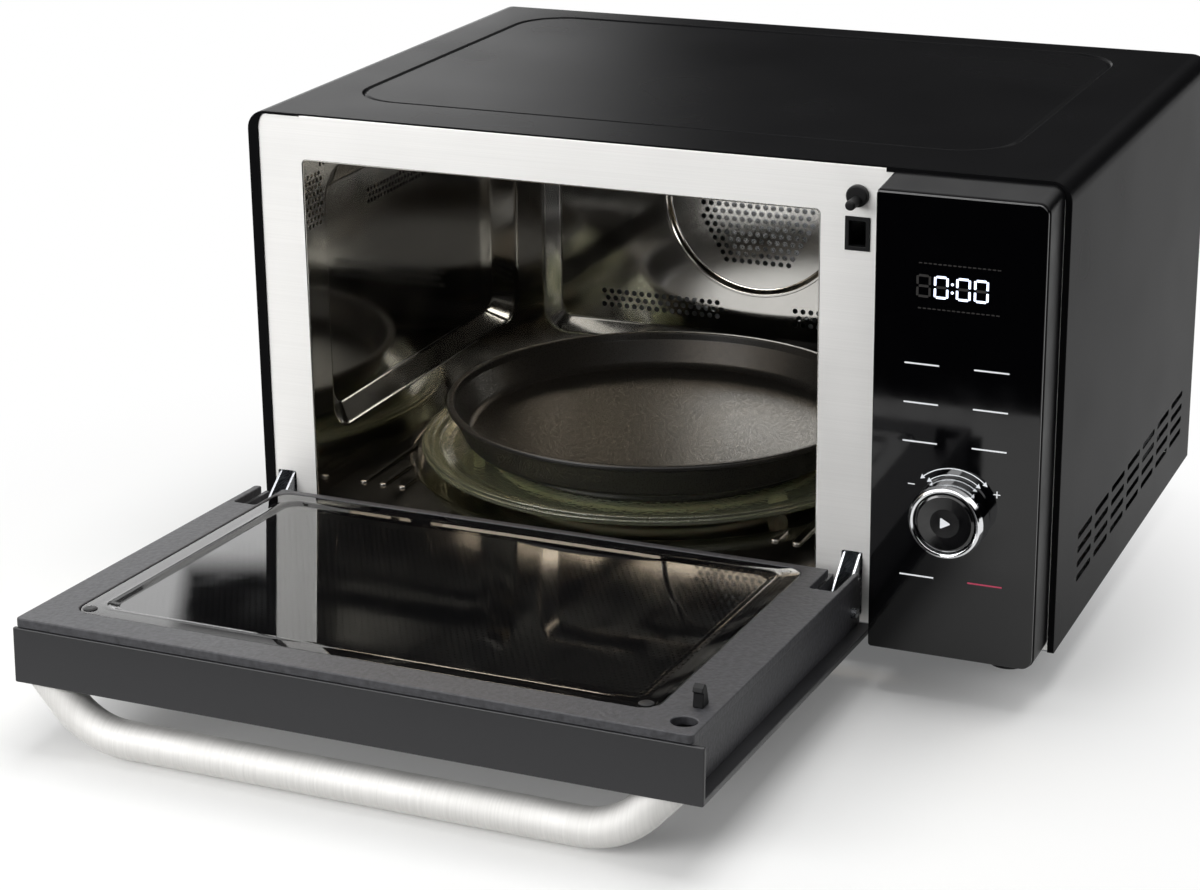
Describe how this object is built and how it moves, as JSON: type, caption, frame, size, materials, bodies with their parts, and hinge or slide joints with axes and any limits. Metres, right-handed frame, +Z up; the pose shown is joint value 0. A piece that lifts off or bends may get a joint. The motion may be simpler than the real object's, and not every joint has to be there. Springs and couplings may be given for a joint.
{
  "type": "combination microwave oven",
  "caption": "Countertop combination microwave oven with a drop-down door, tube handle, side control panel with a push dial, glass turntable and browning pan.",
  "frame": {"origin": "on the table, under the middle of the oven's bounding box with its door open", "axes": "+Z up, front and opened door towards -Y, control panel on the +X side"},
  "size_m": [0.52, 0.6811, 0.307],
  "materials": {
    "black_paint": "satin",
    "zinc_sheet": "satin",
    "brushed_front": "brushed",
    "polished_cavity": "polished",
    "floor_enamel": "satin",
    "foot_rubber": "matte",
    "heater_sheath": "matte",
    "blower_steel": "satin",
    "magnetron_body": "satin",
    "core_iron": "matte",
    "copper_winding": "satin",
    "fan_plastic": "matte",
    "mica_sheet": "matte",
    "drive_plastic": "matte",
    "tray_glass": "gloss",
    "pan_coating": "satin",
    "door_plastic": "matte",
    "mesh_steel": "satin",
    "door_glass": "gloss",
    "door_shell": "satin",
    "handle_steel": "brushed",
    "panel_plastic": "satin",
    "panel_gloss": "gloss",
    "dial_chrome": "polished",
    "cap_plastic": "gloss"
  },
  "bodies": {
    "cabinet": {"outer_wrapper": "black_paint", "base_plate": "zinc_sheet", "rear_panel": "zinc_sheet", "rear_cover": "zinc_sheet", "convection_housing": "zinc_sheet", "waveguide": "zinc_sheet", "hinge_bracket_left": "zinc_sheet", "hinge_bracket_right": "zinc_sheet", "interlock_bracket": "zinc_sheet", "front_plate": "brushed_front", "cavity_left_wall": "polished_cavity", "cavity_right_wall": "polished_cavity", "cavity_ceiling": "polished_cavity", "cavity_rear_wall": "polished_cavity", "cavity_floor": "floor_enamel", "foot_front_left": "foot_rubber", "foot_front_right": "foot_rubber", "foot_rear_left": "foot_rubber", "foot_rear_right": "foot_rubber", "ring_heater": "heater_sheath", "grill_element": "heater_sheath", "convection_motor": "blower_steel", "turntable_motor": "blower_steel", "magnetron": "magnetron_body", "transformer_core": "core_iron", "transformer_winding": "copper_winding", "fan_shroud": "fan_plastic", "cooling_fan_motor": "fan_plastic", "cord_gland": "fan_plastic", "dial_encoder": "fan_plastic", "door_switch": "fan_plastic", "interlock_bezel": "fan_plastic", "catch_stud": "fan_plastic", "display_module": "fan_plastic", "control_board": "fan_plastic", "mica_cover": "mica_sheet", "panel_frame": "panel_plastic", "panel_glass": "panel_gloss"},
    "door": {"door_body": "door_plastic", "door_inner_frame": "door_plastic", "door_inner_glass": "door_glass", "door_mesh": "mesh_steel", "door_skin": "door_shell", "door_outer_glass": "door_glass", "latch_hook": "fan_plastic", "handle_tube": "handle_steel", "hinge_pin_left": "blower_steel", "hinge_pin_right": "blower_steel"},
    "dial": {"dial_ring": "dial_chrome"},
    "push_cap": {"start_button": "cap_plastic"},
    "tray": {"glass_tray": "tray_glass", "turntable_coupling": "drive_plastic"},
    "pan": {"crisp_pan": "pan_coating"},
    "ring": {"roller_ring": "drive_plastic"},
    "roller_a": {"roller_1": "drive_plastic"},
    "roller_b": {"roller_2": "drive_plastic"},
    "roller_c": {"roller_3": "drive_plastic"},
    "blower": {"convection_fan": "blower_steel"},
    "fan": {"cooling_fan": "fan_plastic"}
  },
  "joints": [
    {"name": "door_hinge", "type": "hinge", "parent": "cabinet", "child": "door", "pos_m": [0, -0.078, 0.0435], "axis": [-1, 0, 0], "range_deg": [0, 87.2]},
    {"name": "dial_turn", "type": "hinge", "parent": "cabinet", "child": "dial", "pos_m": [0.2068, -0.084, 0.117], "axis": [0, -1, 0], "continuous": true},
    {"name": "start_push", "type": "slide", "parent": "cabinet", "child": "push_cap", "axis": [0, 1, 0], "range_m": [0, 0.0015], "stiffness_N_per_m": 900},
    {"name": "tray_turn", "type": "hinge", "parent": "cabinet", "child": "tray", "pos_m": [-0.05475, 0.1171, 0.056], "axis": [0, 0, 1], "continuous": true},
    {"name": "pan_lift", "type": "slide", "parent": "tray", "child": "pan", "axis": [0, 0, 1], "range_m": [0, 0.12]},
    {"name": "ring_turn", "type": "hinge", "parent": "cabinet", "child": "ring", "pos_m": [-0.05475, 0.1171, 0.05], "axis": [0, 0, 1], "continuous": true},
    {"name": "roller_spin_a", "type": "hinge", "parent": "ring", "child": "roller_a", "pos_m": [-0.05475, 0.2391, 0.05], "axis": [0, 1, 0], "continuous": true},
    {"name": "roller_spin_b", "type": "hinge", "parent": "ring", "child": "roller_b", "pos_m": [-0.16041, 0.0561, 0.05], "axis": [-0.866, -0.5, 0], "continuous": true},
    {"name": "roller_spin_c", "type": "hinge", "parent": "ring", "child": "roller_c", "pos_m": [0.05091, 0.0561, 0.05], "axis": [0.866, -0.5, 0], "continuous": true},
    {"name": "blower_spin", "type": "hinge", "parent": "cabinet", "child": "blower", "pos_m": [-0.04935, 0.2862, 0.185], "axis": [0, -1, 0], "continuous": true},
    {"name": "fan_spin", "type": "hinge", "parent": "cabinet", "child": "fan", "pos_m": [0.2008, 0.3105, 0.168], "axis": [0, -1, 0], "continuous": true}
  ],
  "couplings": [
    {"joint": "ring_turn", "follows": "tray_turn", "ratio": 0.5},
    {"joint": "roller_spin_a", "follows": "tray_turn", "ratio": -10.167},
    {"joint": "roller_spin_b", "follows": "tray_turn", "ratio": -10.167},
    {"joint": "roller_spin_c", "follows": "tray_turn", "ratio": -10.167}
  ]
}
